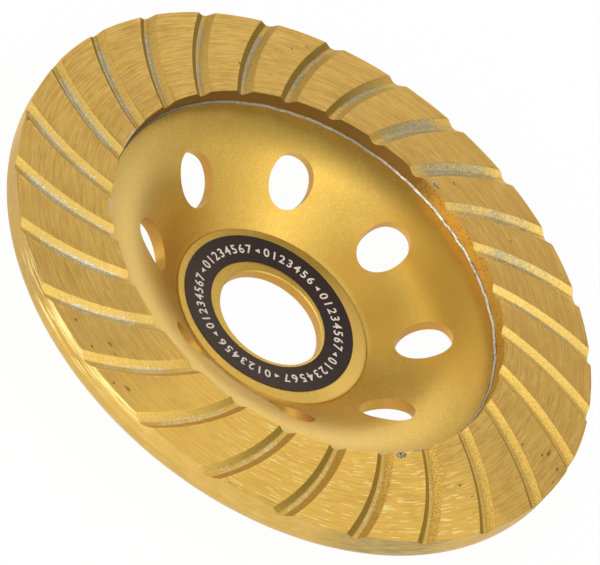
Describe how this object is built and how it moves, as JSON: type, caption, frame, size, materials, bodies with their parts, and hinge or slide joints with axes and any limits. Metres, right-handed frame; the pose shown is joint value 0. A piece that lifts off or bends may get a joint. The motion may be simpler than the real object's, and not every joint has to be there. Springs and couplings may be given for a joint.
{
  "type": "diamond cup wheel",
  "caption": "Grinding cup wheel for an angle grinder: a steel cup with a bore and vent holes carries a flat diamond ring with curved grooves.",
  "frame": {"origin": "centre of the bore at the back of the hub, which is the face that seats on the grinder", "axes": "+Z along the bore axis, from the back of the hub towards the grinding face; +X and +Y are any two directions in the plane of the wheel"},
  "size_m": [0.125, 0.125, 0.019],
  "materials": {
    "cup_steel": "satin gold paint with a fine metallic grain",
    "diamond_ring": "gold paint, ground and scratched round the face, worn to grey sinter in the grooves",
    "braze": "bare bright silver braze",
    "label": "satin dark brown print with cream marks"
  },
  "bodies": {
    "root": {"cup_body": "cup_steel", "abrasive_ring": "diamond_ring", "braze_bead": "braze", "hub_label": "label"}
  },
  "joints": []
}
